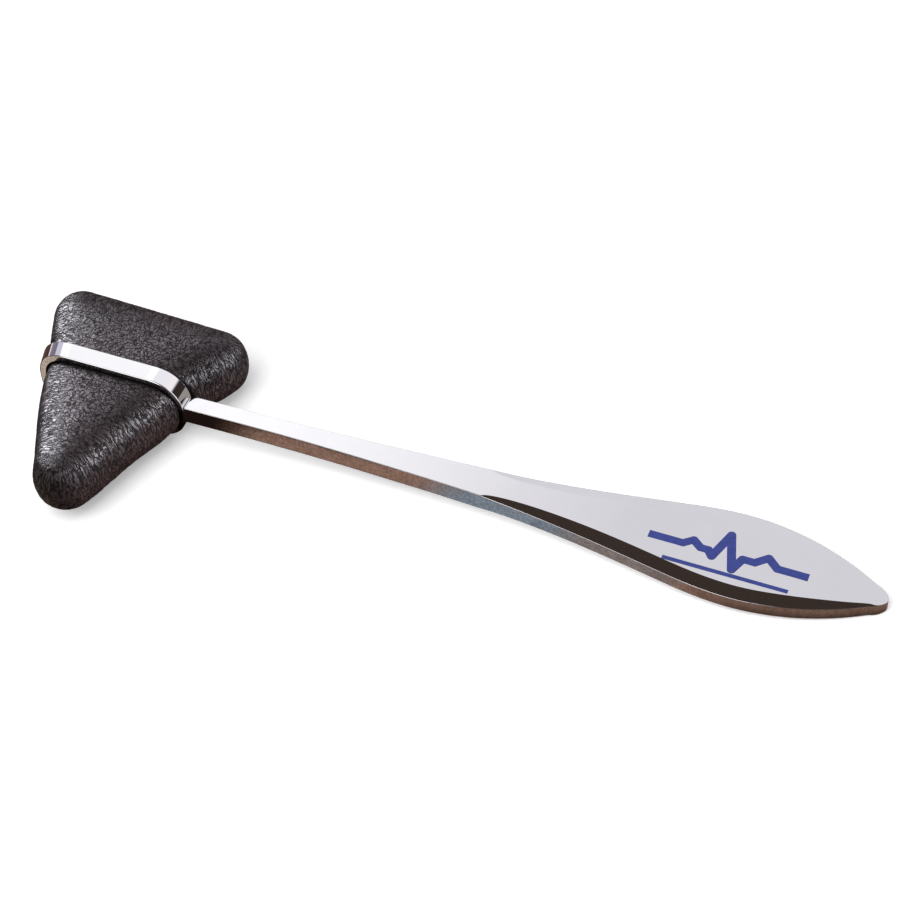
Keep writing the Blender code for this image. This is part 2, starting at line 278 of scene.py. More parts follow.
def chrome(name, tint, root_shade=None, foot=None):
    """Polished plating. Given (x, top z), painted shade darkens the corner beside the handle's
    root.
    Given foot = (low z, high z), painted shade darkens the lower part of the blade's -Y edge. Both
    in metres."""
    mat, net, shader = principled(name)
    place = net.coordinates()
    # Very faint lengthwise streaks, and faint smears
    stretch = net.node("ShaderNodeMapping", {"Vector": place, "Scale": (60.0, 900.0, 900.0)})
    streak = net.noise(stretch.outputs["Vector"], scale=1.0, detail=3.0, roughness=0.55)
    smear = net.noise(place, scale=70.0, detail=4.0, roughness=0.6, distortion=0.6)
    colour = net.mix(net.remap(smear, over=(0.35, 0.7)), tint, scaled(tint, 0.965))
    roughness = net.add(
        net.remap(smear, over=(0.4, 0.75), to=(0.035, 0.075)),
        net.remap(streak, over=(0.4, 0.7), to=(0.0, 0.02)),
    )
    waves = net.noise(place, scale=45.0, detail=2.0, roughness=0.4)
    normal = net.bump(waves, strength=0.05, distance=0.0002)
    normal = net.bump(streak, strength=0.02, distance=0.00002, normal=normal)

    # Faces turned toward +Y or -Y are less finely ground
    facing_y = net.split(net.normal())[1]
    side = net.rise(net.math("ABSOLUTE", facing_y), over=(0.85, 0.97))
    ground = net.noise(place, scale=1100.0, detail=4.0, roughness=0.6)
    normal = net.bump(net.times(ground, side), strength=0.35, distance=0.00006, normal=normal)
    speck = net.noise(place, scale=1500.0, detail=5.0, roughness=0.75)
    worn = net.mix(net.remap(speck, over=(0.36, 0.66)), scaled(tint, 0.55), tint)
    colour = net.mix(side, colour, worn)

    x, y, z = net.split(place)
    # Painted shade: the loop's corner beside the handle's root, below its top, is darkened nearly
    # to black
    if root_shade is not None:
        shade_x, top_z = root_shade
        low = net.fall(z, over=(top_z - 0.0010, top_z))
        corner = net.times(net.rise(x, over=(shade_x - 0.0030, shade_x - 0.0016)), low)
        front = net.rise(net.times(y, -1.0), over=(0.0010, 0.0018))
        colour = net.mix(net.times(corner, front), colour, scaled(tint, 0.10))
    # Painted shade: toward the point, the lower part of the blade's -Y edge is darkened, most at
    # the bottom, with specks
    if foot is not None:
        along = net.rise(x, over=(0.134, 0.154))
        dim = net.mix(net.rise(z, over=foot), scaled(tint, 0.20), scaled(tint, 0.80))
        specks = net.remap(speck, over=(0.36, 0.66), to=(0.0, 0.5))
        dim = net.mix(specks, dim, scaled(tint, 0.55), blend="MULTIPLY")
        front_edge = net.rise(net.times(facing_y, -1.0), over=(0.25, 0.55))
        colour = net.mix(net.times(along, front_edge), colour, dim)
    net.fill(shader, {"Base Color": colour, "Metallic": 1.0,
                      "Roughness": roughness, "Normal": normal})
    return mat


def rubber(name):
    """Leathery rubber: raised cells with narrow channels between them."""
    mat, net, shader = principled(name)
    place = net.coordinates()
    ring = net.attribute("ring", "Vector")
    flat = net.attribute("flatness")
    relief = net.attribute("relief")
    broad = net.noise(place, scale=60.0, detail=3.0)

    def cells(vector, density, channel):
        inputs = {"Vector": net.vector("MULTIPLY", vector, density), "Scale": 1.0}
        node = net.node("ShaderNodeTexVoronoi", inputs, feature="DISTANCE_TO_EDGE")
        return net.rise(node.outputs["Distance"], over=(0.0, channel))

    def pattern(vector, *sizes):
        """Two sizes of cell, each (cells a millimetre, channel width, share of the height)."""
        parts = [
            net.times(cells(vector, density, channel), share)
            for density, channel, share in sizes
        ]
        return net.add(*parts)

    def drift(scale, amount):
        colour = net.noise(place, scale=scale, detail=2.0, output="Color")
        centred = net.vector("SUBTRACT", colour, (0.5, 0.5, 0.5))
        return net.vector("MULTIPLY", centred, amount)

    # On the shoulders the channels run from the edge inward; on the flats every way
    wavy = net.vector("ADD", ring, drift(scale=420.0, amount=(2.0, 2.0, 3.0)))
    wrinkle = pattern(wavy, ((1.5, 1.5, 0.38), 0.22, 0.72), ((2.3, 2.3, 0.9), 0.22, 0.28))
    in_mm = net.vector("MULTIPLY", place, (1000.0, 1000.0, 1000.0))
    loose = net.vector("ADD", in_mm, drift(scale=330.0, amount=(5.0, 5.0, 5.0)))
    grain = pattern(loose, ((0.92, 0.92, 0.92), 0.20, 0.68), ((1.8, 1.8, 1.8), 0.22, 0.32))
    height = net.add(net.times(grain, flat), net.times(wrinkle, net.minus(1.0, flat)))
    fine = net.noise(place, scale=3000.0, detail=2.0, roughness=0.6)

    cool, warm = (0.0086, 0.0061, 0.0066), (0.0138, 0.0091, 0.0091)
    channel_shade, strip_shade = (0.0028, 0.0021, 0.0021), (0.0040, 0.0031, 0.0032)
    colour = net.mix(net.remap(broad, over=(0.35, 0.65)), cool, warm)
    # Painted shade: the channels between the cells are darkened
    colour = net.mix(height, channel_shade, colour)
    # Beside the strip the rubber sits in the strip's shade
    from_middle = net.math("ABSOLUTE", net.split(place)[1])
    open_air = net.rise(from_middle, over=(0.0022, 0.0034))
    colour = net.mix(open_air, strip_shade, colour)

    # The cells' tops are a little smoother than the channels, and shinier
    roughness = net.minus(net.linear(flat, start=0.42, gain=0.05), net.times(height, 0.05))
    roughness = net.add(roughness, net.remap(fine, over=(0.3, 0.7), to=(-0.05, 0.05)))
    shine = net.linear(net.times(height, height), start=0.03, gain=0.45)
    shine = net.times(shine, net.linear(open_air, start=0.30, gain=0.70))

    # The relief is shallower on the flats
    flat_loss, relief_share = 0.55, 0.35
    depth = net.minus(1.00, net.times(flat, flat_loss))
    whole = net.times(net.add(height, net.times(relief, relief_share)), depth)
    lean = net.attribute("lean", "Vector")
    leaning = net.vector("NORMALIZE", net.vector("ADD", net.normal(), lean))
    normal = net.bump(whole, strength=0.9, distance=0.000085, normal=leaning)
    normal = net.bump(fine, strength=0.1, distance=0.00004, normal=normal)
    net.fill(shader, {"Base Color": colour, "Roughness": roughness,
                      "Specular IOR Level": shine, "Normal": normal})
    return mat


def print_ink(name):
    mat, net, shader = principled(name)
    dark, light = (0.026, 0.044, 0.235), (0.036, 0.058, 0.290)
    mottle = net.noise(net.coordinates(), scale=900.0, detail=3.0, roughness=0.6)
    net.fill(shader, {
        "Base Color": net.mix(net.remap(mottle, over=(0.35, 0.7)), dark, light),
        "Roughness": 0.42,
        "Normal": net.bump(mottle, strength=0.1, distance=0.00002),
    })
    return mat


def floor_white(name):
    mat, net, shader = principled(name)
    net.fill(shader, {
        "Base Color": (0.93, 0.93, 0.93, 1.0), "Roughness": 0.9, "Specular IOR Level": 0.1,
        "Emission Color": (1.0, 1.0, 1.0, 1.0), "Emission Strength": 0.33,
    })
    return mat


# ------------------------------------------------------------------ loop

def loop_path(inset, steps):
    """The loop's outer outline moved in by inset: (x, z from its centre, 1 at the -X end)."""
    arcs = corner_arcs(LOOP_X - inset, LOOP_Z - inset, LOOP_R - inset, steps)
    return [(x, z, 1.0 if x < 0 else 0.0) for points in arcs for x, z in points]


def far_offset(far, y):
    """The shift in x of the slanted -X end."""
    return far * (FAR_SHIFT - FAR_SLANT * y)


def gradual(points, pitch=0.2, spread=0.75):
    """An evenly spaced closed path whose bends start and end gently, with its normals."""
    path = np.array(points + [points[0]])
    steps = np.hypot(*np.diff(path[:, :2], axis=0).T)
    run = np.concatenate([[0.0], np.cumsum(steps)])
    count = int(run[-1] / pitch)
    spots = np.arange(count) * run[-1] / count
    even = np.column_stack([np.interp(spots, run, path[:, k]) for k in range(3)])
    reach = int(3 * spread / pitch)
    kernel = np.exp(-0.5 * (np.arange(-reach, reach + 1) * pitch / spread) ** 2)
    kernel /= kernel.sum()
    even = sum(weight * np.roll(even, k - reach, 0) for k, weight in enumerate(kernel))
    along = np.roll(even, -1, 0) - np.roll(even, 1, 0)
    along /= np.hypot(along[:, 0], along[:, 1])[:, None]
    return [(x, z, dz, -dx, far) for (x, z, far), (dx, dz, _) in zip(even, along)]


def strip_section():
    """The strip's section as (y, outward) points. Points on each flat are packed near its
    ends so that its normals stay true."""
    arcs = corner_arcs(STRIP_W / 2, STRIP_T / 2, STRIP_EDGE_R, steps=6)
    section = []
    for k, points in enumerate(arcs):
        section += points
        start, end = points[-1], arcs[(k + 1) % 4][0]
        length = math.dist(start, end)
        for spot in (0.06, 0.2, length / 2, length - 0.2, length - 0.06):
            t = spot / length
            section.append(tuple(p + (q - p) * t for p, q in zip(start, end)))
    return section


def build_loop():
    """The strip's section swept round a rounded rectangle."""
    section = strip_section()
    path = gradual(loop_path(STRIP_T / 2, steps=44))
    rings = [
        np.array([
            (x + out_x * t + far_offset(far, y), y, CZ + z + out_z * t) for y, t in section
        ])
        for x, z, out_x, out_z, far in path
    ]
    return solid("head_loop_polished", *loft(rings, close_path=True))


# ---------------------------------------------------------------- handle

def spline_through(points):
    """Natural cubic spline, as a function of x."""
    x, y = np.array(points).T
    count = len(x)
    gap = np.diff(x)
    slope = np.diff(y) / gap
    system = np.zeros((count, count))
    right = np.zeros(count)
    system[0, 0] = system[-1, -1] = 1.0
    for i in range(1, count - 1):
        system[i, i - 1:i + 2] = gap[i - 1], 2 * (gap[i - 1] + gap[i]), gap[i]
        right[i] = 6 * (slope[i] - slope[i - 1])
    bend = np.linalg.solve(system, right)

    def value_at(spot):
        i = int(min(max(np.searchsorted(x, spot) - 1, 0), count - 2))
        after, before = x[i + 1] - spot, spot - x[i]
        return (
            bend[i] * after**3 / (6 * gap[i]) + bend[i + 1] * before**3 / (6 * gap[i])
            + (y[i] / gap[i] - bend[i] * gap[i] / 6) * after
            + (y[i + 1] / gap[i] - bend[i + 1] * gap[i] / 6) * before
        )

    return value_at


station_width = spline_through(STATIONS)


def half_width(x):
    last_x, last_width = STATIONS[-1]
    if x < last_x:
        return float(station_width(x))
    # A rounded point, drawn in a little where it leaves the last station
    t = min(1.0, (BAR_L - x) / (BAR_L - last_x))
    return last_width * math.sqrt(max(0.0, 1.0 - (1.0 - t) ** 2)) * (0.72 + 0.28 * t)


def bevel_margin(x):
    if not BEVEL_X0 < x < BEVEL_X1:
        return BEVEL_MIN
    start = min(1.0, (x - BEVEL_X0) / BEVEL_IN)
    end = min(1.0, (BEVEL_X1 - x) / BEVEL_OUT)
    grow = math.sin(math.pi / 2 * start) ** 0.45 * math.sin(math.pi / 2 * end) ** 0.7
    return max(BEVEL_MIN, BEVEL_W * grow)


def half_thickness(x):
    t = max(0.0, (x - THIN_X) / (BAR_L - THIN_X))
    return BAR_T - THINNING * t * t


def centre_line(x):
    t = x / BAR_L
    return BAR_BOW * 4.0 * t * (1.0 - t)


def quarter_spots(edge_end, bevel_end, quarter_end):
    """Arc lengths at which the quarter section is sampled, crowded round its corners."""
    near = (0.06, 0.13, 0.22, 0.34, 0.5)  # distances from a corner
    bevel_cap = (0.15, 0.3, 0.45, 0.6, 0.8)  # their limits, as shares of half the bevel
    flat_cap = (0.1, 0.2, 0.3, 0.45, 0.6)  # and as shares of the flat
    half = (bevel_end - edge_end) / 2
    flat = quarter_end - bevel_end
    on_bevel = [min(d, half * share) for d, share in zip(near, bevel_cap)]
    on_flat = [min(d, flat * share) for d, share in zip(near, flat_cap)]
    last = flat * 0.75 if flat < 0.8 else near[-1] + (flat - near[-1]) * 0.4
    return np.array(
        [0.0] + [edge_end - d for d in near[::-1]] + [edge_end]
        + [edge_end + d for d in on_bevel] + [edge_end + half]
        + [bevel_end - d for d in on_bevel[::-1]] + [bevel_end]
        + [bevel_end + d for d in on_flat] + [bevel_end + last, quarter_end]
    )


def bar_section(x):
    """One section of the bar as (y, z) points, its corners softened as polishing does."""
    width = max(half_width(x), 0.12)
    bevel = min(bevel_margin(x), 0.6 * width)
    top = half_thickness(x)
    edge = top - BEVEL_SLOPE * bevel
    quarter = np.array([(width, 0.0), (width, edge), (width - bevel, top), (0.0, top)])
    lengths = np.hypot(*np.diff(quarter, axis=0).T)
    run = np.concatenate([[0.0], np.cumsum(lengths)])
    total = run[-1]

    def on_quarter(spot):
        """Position at an arc length, mirrored past either end of the quarter."""
        side_z = np.where(spot < 0, -1.0, 1.0)
        spot = np.abs(spot)
        side_y = np.where(spot > total, -1.0, 1.0)
        spot = np.where(spot > total, 2 * total - spot, spot)
        y, z = (np.interp(spot, run, quarter[:, k]) for k in range(2))
        return np.column_stack([side_y * y, side_z * z])

    spots = quarter_spots(*run[1:])
    sigmas = np.linspace(-3, 3, 25)
    shifts = sigmas * CORNER_SOFTNESS * min(1.0, width / 0.6)
    weights = np.exp(-0.5 * sigmas**2)
    weights /= weights.sum()
    soft = sum(weight * on_quarter(spots + shift) for shift, weight in zip(shifts, weights))
    soft[-1, 0] = 0.0
    soft[0, 1] = 0.0
    full = np.concatenate([
        soft, soft[-2::-1] * (-1, 1), soft[1:] * (-1, -1), soft[-2:0:-1] * (1, -1),
    ])
    chamfer = CHAMFER_W * max(0.0, 1.0 - x / CHAMFER_L)
    full[:, 0] = np.where(full[:, 0] > 0, full[:, 0] * (width - chamfer) / width, full[:, 0])
    full[:, 0] += centre_line(x)
    return full


def bar_stations():
    """Section places along the bar: close at the root, the bevel's start and the point."""
    start = -0.02  # the root reaches just inside the loop's outer face
    xs = [start + step for step in (0.0, 0.015, 0.03, 0.05, 0.4, 0.8)]
    xs += [1.2, 1.45, 1.6, 1.75, 2.0]
    while xs[-1] < BAR_L - 8.0:
        x = xs[-1]
        if BEVEL_X0 - 0.6 < x < BEVEL_X0 + 3.0:
            pitch = 0.22
        elif BEVEL_X0 < x < BEVEL_X0 + 8:
            pitch = 0.45
        else:
            pitch = 0.9
        xs.append(x + pitch)
    left = BAR_L - 0.004 - xs[-1]
    return xs + [xs[-1] + left * math.sin(math.pi / 2 * i / 34) for i in range(1, 35)]


def build_bar():
    xs = bar_stations()
    root_width, root_edge_r = STATIONS[0][1], 0.05
    rings = []
    for i, x in enumerate(xs):
        section = bar_section(x)
        if i < 4:  # the root's edge is rounded over
            depth = root_edge_r - (x - xs[0])
            shrink = root_edge_r - math.sqrt(max(0.0, root_edge_r**2 - depth**2))
            section = section * (1 - shrink / root_width, 1 - shrink / BAR_T)
        rings.append(np.column_stack([
            np.full(len(section), LOOP_X + x), section[:, 0], CZ + section[:, 1],
        ]))
    return solid("handle_polished", *loft(rings))


# ----------------------------------------------------------- rubber head

def plain_triangle(per_side=90, per_base=60, per_arc=40):
    """A rounded triangle, from the +X base corner round to it again."""
    base_x, base_y = HEAD_HALF - R_BASE, HEAD_TOP_Y - R_BASE
    apex_y = HEAD_APEX_Y + R_APEX
    rise = base_y - apex_y
    taper = math.asin((R_BASE - R_APEX) / math.hypot(base_x, rise))
    side = math.atan2(rise, base_x) - math.pi / 2 - taper  # direction the +X side faces
    arcs = [
        arc((base_x, base_y), R_BASE, side, math.pi / 2, per_arc),
        arc((-base_x, base_y), R_BASE, math.pi / 2, math.pi - side, per_arc),
        arc((0.0, apex_y), R_APEX, math.pi - side, 2 * math.pi + side, per_arc),
    ]
    points = []
    for k, count in enumerate((per_base, per_side, per_side)):
        points += arcs[k]
        start, end = np.array(arcs[k][-1]), np.array(arcs[(k + 1) % 3][0])
        points += [tuple(start + (end - start) * t) for t in np.linspace(0, 1, count + 1)[1:-1]]
    return np.array(points)


def head_outline():
    """The head's outline, drawn in beside the strip, and its outward normals."""
    line = plain_triangle()
    x, y = line[:, 0].copy(), line[:, 1].copy()
    right = x > 0
    away = np.maximum(0.0, np.abs(y) - STRIP_W / 2 - 0.3)
    turn = ease(ramp(y, start=-2.5, length=5.0))
    pinch_right = PINCH_APEX_SIDE + (PINCH_RIGHT - PINCH_APEX_SIDE) * turn
    reach = np.where(right, REACH_RIGHT, REACH_LEFT)
    shift = np.where(right, pinch_right, PINCH_LEFT) * np.exp(-((away / reach) ** 2))
    dip = np.where(right, DIP_RIGHT, DIP_LEFT)
    shift += dip * np.exp(-(((y - DIP_Y) / DIP_REACH) ** 2))
    # The corners keep their shape
    fade = ramp(y, start=HEAD_APEX_Y + R_APEX, length=3.0)
    fade = fade * ramp(HEAD_TOP_Y - 0.6 * R_BASE - y, length=3.0)
    line[:, 0] -= np.sign(x) * shift * fade
    line[:, 1] -= BASE_SKEW * line[:, 0] * ramp(y, length=HEAD_TOP_Y)
    along = np.roll(line, -1, 0) - np.roll(line, 1, 0)
    normal = np.column_stack([along[:, 1], -along[:, 0]])
    normal /= np.linalg.norm(normal, axis=1)[:, None]
    return line, normal


def head_blank(line, normal, half_steps=16):
    """The plain solid: the outline drawn in toward the top and the bottom."""
    rings = []
    for k in range(-half_steps, half_steps + 1):
        angle = math.pi / 2 * k / half_steps
        ring = line - normal * HEAD_BULGE * (1 - math.cos(angle))
        height = np.full(len(ring), CZ + HEAD_H * math.sin(angle))
        rings.append(np.column_stack([HEAD_X + ring[:, 0], ring[:, 1], height]))
    return solid("rubber_head_grained", *loft(rings))


def groove_tool():
    """The room the strip takes, run well past the head's surface."""
    inner = loop_path(STRIP_T + GROOVE_GAP, steps=20)
    outer = loop_path(-8, steps=20)
    wide = STRIP_W / 2 + GROOVE_GAP

    def ring(path, y):
        return np.array([(x + far_offset(far, y), y, CZ + z) for x, z, far in path])

    rings = [ring(outer, -wide), ring(outer, wide), ring(inner, wide), ring(inner, -wide)]
    return solid("groove_tool", *loft(rings, close_path=True), smooth=False)


def cut_and_remesh(body):
    groove = groove_tool()
    cut = body.modifiers.new("groove", "BOOLEAN")
    cut.operation, cut.solver, cut.object = "DIFFERENCE", "EXACT", groove
    skin = body.modifiers.new("even_skin", "REMESH")
    skin.mode, skin.voxel_size, skin.adaptivity = "VOXEL", VOXEL * MM, 0.0
    graph = bpy.context.evaluated_depsgraph_get()
    mesh = bpy.data.meshes.new_from_object(body.evaluated_get(graph))
    body.modifiers.clear()
    old = body.data
    body.data = mesh
    mesh.name = "rubber_head_grained"
    bpy.data.meshes.remove(old)
    bpy.data.objects.remove(groove, do_unlink=True)


def hash01(*keys):
    """A repeatable value in 0..1 for each set of whole numbers."""
    low32 = np.uint64(0xFFFFFFFF)
    mixed = np.zeros_like(keys[0], dtype=np.uint64)
    for key, factor in zip(keys, (0x9E3779B1, 0x85EBCA77, 0xC2B2AE3D, 0x27D4EB2F)):
        mixed = (mixed ^ (key.astype(np.int64).astype(np.uint64) * np.uint64(factor))) & low32
        for shift, scramble in ((15, 0x2C1B3C6D), (12, 0x297A2D39)):
            mixed = (mixed ^ (mixed >> np.uint64(shift))) * np.uint64(scramble) & low32
        mixed = mixed ^ (mixed >> np.uint64(15))
    return mixed.astype(float) / 4294967295.0


def value_noise(points, seed, cell=1.0, period=None):
    """Smooth noise in 0..1; period wraps the first axis."""
    points = points / cell
    whole = np.floor(points).astype(np.int64)
    part = points - whole
    part = part * part * part * (part * (part * 6 - 15) + 10)
    total = np.zeros(len(points))
    for corner in range(8):
        weight = np.ones(len(points))
        keys = []
        for axis in range(3):
            bit = corner >> axis & 1
            key = whole[:, axis] + bit
            if axis == 0 and period:
                key = np.mod(key, period)
            keys.append(key)
            weight *= part[:, axis] if bit else 1 - part[:, axis]
        total += weight * hash01(*keys, np.full(len(points), seed))
    return total


def cell_gap(points, seed):
    """Distance to the second nearest less the nearest, of one random point a cell."""
    whole = np.floor(points).astype(np.int64)
    best = np.full(len(points), 9.0)
    second = best.copy()
    for offset in np.ndindex(3, 3, 3):
        cell = whole + np.array(offset) - 1
        centre = np.column_stack([
            cell[:, axis] + hash01(*cell.T, np.full(len(points), seed + axis))
            for axis in range(3)
        ])
        distance = np.linalg.norm(centre - points, axis=1)
        second = np.where(distance < best, best, np.minimum(second, distance))
        best = np.minimum(best, distance)
    return second - best


def relax(values, edges, times):
    """Move each vertex's value halfway to its neighbours' mean, several times."""
    values = values.copy()
    degree = np.bincount(edges.ravel(), minlength=len(values)).astype(float)
    for _ in range(times):
        total = np.zeros_like(values)
        np.add.at(total, edges[:, 0], values[edges[:, 1]])
        np.add.at(total, edges[:, 1], values[edges[:, 0]])
        values += 0.5 * (total / degree[:, None] - values)
    return values


def vertex_vectors(mesh, name):
    values = np.empty(len(mesh.vertices) * 3)
    mesh.vertices.foreach_get(name, values)
    return values.reshape(-1, 3)


def move_vertices(mesh, place):
    mesh.vertices.foreach_set("co", (place * MM).ravel())
    mesh.update()


def add_attribute(mesh, name, values):
    kind, field = ("FLOAT", "value") if values.ndim == 1 else ("FLOAT_VECTOR", "vector")
    attribute = mesh.attributes.new(name, kind, "POINT")
    attribute.data.foreach_set(field, values.astype(np.float32).ravel())


def project_on_outline(flat, line, batch=4000):
    """For each (x, y): arc length of the nearest outline point, distance to it, the point
    itself; and the outline's whole length."""
    step = np.roll(line, -1, 0) - line
    length = np.hypot(*step.T)
    run = np.concatenate([[0.0], np.cumsum(length)[:-1]])
    around, inset, foot = np.empty(len(flat)), np.empty(len(flat)), np.empty((len(flat), 2))
    for first in range(0, len(flat), batch):
        part = slice(first, first + batch)
        offset = flat[part, None] - line[None]
        t = np.clip((offset * step[None]).sum(2) / (step**2).sum(1)[None], 0, 1)
        distance = np.linalg.norm(offset - t[..., None] * step[None], axis=2)
        nearest = distance.argmin(1)
        row = np.arange(len(nearest))
        t = t[row, nearest]
        inset[part] = distance[row, nearest]
        around[part] = run[nearest] + t * length[nearest]
        foot[part] = line[nearest] + t[:, None] * step[nearest]
    return around, inset, foot, length.sum()


def outward_lean(outward, inset, normal, edges):
    """The flats are faintly domed: their shading leans outward, fading in from the
    shoulders."""
    outward = outward / np.maximum(1e-6, np.linalg.norm(outward, axis=1))[:, None]
    amount = LEAN * ramp(inset, length=5.0) ** 2 * ramp(14.0 - inset, length=9.0) ** 1.3
    amount *= ramp(np.abs(normal[:, 2]), start=0.75, length=0.2)
    lean = np.column_stack([outward * amount[:, None], np.zeros(len(inset))])
    return relax(lean, edges, times=40)


def groove_mask(place):
    """1 inside the strip's groove, 0 elsewhere."""
    straight_x, straight_z = LOOP_X - LOOP_R, LOOP_Z - LOOP_R
    x, y, height = place[:, 0], place[:, 1], place[:, 2] - CZ
    far = np.clip(0.5 - x / (2 * straight_x), 0, 1)
    past_x = np.maximum(0.0, np.abs(x - far_offset(far, y)) - straight_x)
    past_z = np.maximum(0.0, np.abs(height) - straight_z)
    in_loop = np.hypot(past_x, past_z) < LOOP_R - STRIP_T + 0.25
    return np.where((np.abs(y) < STRIP_W / 2 + 0.35) & in_loop, 1.0, 0.0)


def flat_share(place, inset, normal):
    """0 on the shoulders, 1 on the flats. The shoulders reach further in away from the
    handle."""
    start = 3.4
    reach = 8.2 + 3.4 * ramp(-place[:, 0], start=4.0, length=10.0)
    share = ramp(inset, start=start, length=reach - start)
    return ease(np.where(np.abs(normal[:, 2]) > 0.5, share, 0.0))


def surface_relief(place, around, over, total, flatness):
    """Wrinkles run across the shoulders; a pebbled grain covers the flats."""
    side = np.sign(place[:, 2] - CZ)
    period = int(round(total / 0.78))
    warp = value_noise(place, cell=3.1, seed=11)
    fine_warp = value_noise(place, cell=1.7, seed=12)
    across = around / (total / period) + 1.6 * (warp - 0.5) + 0.9 * (fine_warp - 0.5)
    inward = over / 2.9 + 0.6 * (fine_warp - 0.5)

    def ridges(noise):
        return 1 - np.abs(2 * noise - 1)

    coarse = np.column_stack([across, inward, side * 7.3])
    fine = np.column_stack([across * 2.0, inward * 1.8, side * 3.1])
    coarse_ridge = ridges(value_noise(coarse, seed=21, period=period))
    fine_ridge = ridges(value_noise(fine, seed=22, period=period * 2))
    wrinkle = 0.72 * coarse_ridge**1.4 + 0.28 * fine_ridge**1.3

    swayed = place / 0.95 + 0.5 * np.column_stack([warp, fine_warp, warp])
    pebble = np.clip(cell_gap(swayed, seed=31) * 1.7, 0, 1)
    creases = ridges(value_noise(place / 0.7 + 0.8 * warp[:, None], seed=41))
    grain = 0.6 * pebble + 0.4 * creases
    return grain * flatness + wrinkle * (1 - flatness)


def skin_head(mesh, line):
    """Shape the remeshed head's shoulders and grain, and store what its material reads."""
    edges = np.empty(len(mesh.edges) * 2, dtype=np.int64)
    mesh.edges.foreach_get("vertices", edges)
    edges = edges.reshape(-1, 2)
    place = relax(vertex_vectors(mesh, "co") / MM, edges, times=6)
    flat = place[:, :2] - np.array([HEAD_X, 0.0])
    around, inset, foot, total = project_on_outline(flat, line)

    # The shoulders run on into the flats without a visible edge
    near = np.clip(inset, 0.02, None)
    blended = 1 - (1 - np.minimum(near, SHOULDER) / SHOULDER) ** SHOULDER_POWER
    plain = 1 - (1 - np.minimum(near, HEAD_BULGE) / HEAD_BULGE) ** 2
    place[:, 2] = CZ + (place[:, 2] - CZ) * np.sqrt(blended / plain)
    move_vertices(mesh, place)
    normal = relax(vertex_vectors(mesh, "normal"), edges, times=3)
    normal /= np.linalg.norm(normal, axis=1)[:, None]

    lean = outward_lean(foot - flat, inset, normal, edges)
    height = place[:, 2] - CZ
    over = np.sign(height) * (inset + HEAD_H - np.abs(height))  # up the flank and inward
    quiet = groove_mask(place)
    flatness = flat_share(place, inset, normal)
    relief = surface_relief(place, around, over, total, flatness)
    flat_depth, shoulder_depth, mean_relief = 0.05, 0.09, 0.55
    depth = flat_depth * flatness + shoulder_depth * (1 - flatness)
    depth *= 0.75 + 0.5 * value_noise(place, cell=6.0, seed=51)
    depth *= 1 - quiet
    move_vertices(mesh, place + normal * ((relief - mean_relief) * depth)[:, None])

    # The outline laid on a circle, so that it has no seam
    radius = total / (2 * math.pi)
    angle = around / radius
    ring = np.column_stack([radius * np.cos(angle), radius * np.sin(angle), over])
    add_attribute(mesh, "relief", relief * (1 - quiet) + 0.3 * quiet)
    add_attribute(mesh, "flatness", flatness)
    add_attribute(mesh, "lean", lean)
    add_attribute(mesh, "ring", ring)
    mesh.polygons.foreach_set("use_smooth", [True] * len(mesh.polygons))
    mesh.update()


def build_head():
    line, normal = head_outline()
    body = head_blank(line, normal)
    cut_and_remesh(body)
    skin_head(body.data, line)
    return body


# ------------------------------------------------------------ blade print

def stroke(points, width):
    """Convex outlines that together draw a line: its segments, then its joints."""
    outlines = []
    for start, end in zip(points, points[1:]):
        start, end = np.array(start), np.array(end)
        along = (end - start) / np.hypot(*(end - start))
        side = np.array([-along[1], along[0]]) * width / 2
        outlines.append([start - side, end - side, end + side, start + side])
    for joint in points[1:-1]:
        outlines.append(arc(joint, width / 2, 0, 2 * math.pi, steps=24)[:-1])
    return outlines


def build_print():
    """A pulse trace over a plain rule, in thin closed plates of ink. Each plate is a hair
    thicker than the last."""
    verts, faces = [], []
    for layer, outline in enumerate(stroke(TRACE, TRACE_W) + stroke(RULE, RULE_W), start=1):
        size, base = len(outline), len(verts)
        for lift in (0.004, 0.012 + 0.003 * layer):
            for x, y in outline:
                z = CZ + half_thickness(MARK_X + x) + lift
                verts.append((LOOP_X + MARK_X + x, MARK_Y + y, z))
        faces.append(tuple(base + i for i in reversed(range(size))))
        faces.append(tuple(base + size + i for i in range(size)))
        for i in range(size):
            j = (i + 1) % size
            faces.append((base + i, base + j, base + size + j, base + size + i))
    return solid("blade_print", verts, faces, smooth=False)


# ----------------------------------------------------------------- pieces

loop = build_loop()
# The loop's corner beside the handle's root gets painted shade
root_shade_place = (LOOP_X * MM, (CZ + BAR_T) * MM)
loop.data.materials.append(chrome("loop_chrome", tint=(0.95, 0.95, 0.955), root_shade=root_shade_place))
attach(loop, "root")
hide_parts("head_loop")

bar = build_bar()
# Heights on the blade over which its -Y edge gets painted shade
blade_z = [v.co.z for v in bar.data.vertices if 0.150 < v.co.x < 0.162]
foot_shade_span = (min(blade_z), min(blade_z) + 0.75 * (max(blade_z) - min(blade_z)))
bar.data.materials.append(chrome("handle_chrome", tint=(0.745, 0.74, 0.75), foot=foot_shade_span))
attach(bar, "root")
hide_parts("handle")

head = build_head()
head.data.materials.append(rubber("head_rubber"))
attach(head, "root")
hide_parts("rubber_head")

mark = build_print()
mark.data.materials.append(print_ink("blue_ink"))
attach(mark, "root")


# ----------------------------------------------------------------- stage

def build_floor():
    """The hammer keeps the CAD frame and rests on the loop's lower flat and on the blade,
    so it is the floor that is tilted to touch both."""
    touch_x = LOOP_X - LOOP_R
    slope = min(
        math.atan2(CZ - half_thickness(x), LOOP_X + x - touch_x)
        for x in np.linspace(60, BAR_L, 200)
    )
    half, drop = 3000, 0.05
    corners = [(-half, -half, 0), (half, -half, 0), (half, half, 0), (-half, half, 0)]
    floor = sheet("floor", corners)
    floor.location = (touch_x * MM, 0.0, -drop * MM)
    floor.rotation_euler = (0.0, -slope, 0.0)
    floor.data.materials.append(floor_white("floor_white"))
    floor.visible_glossy = False


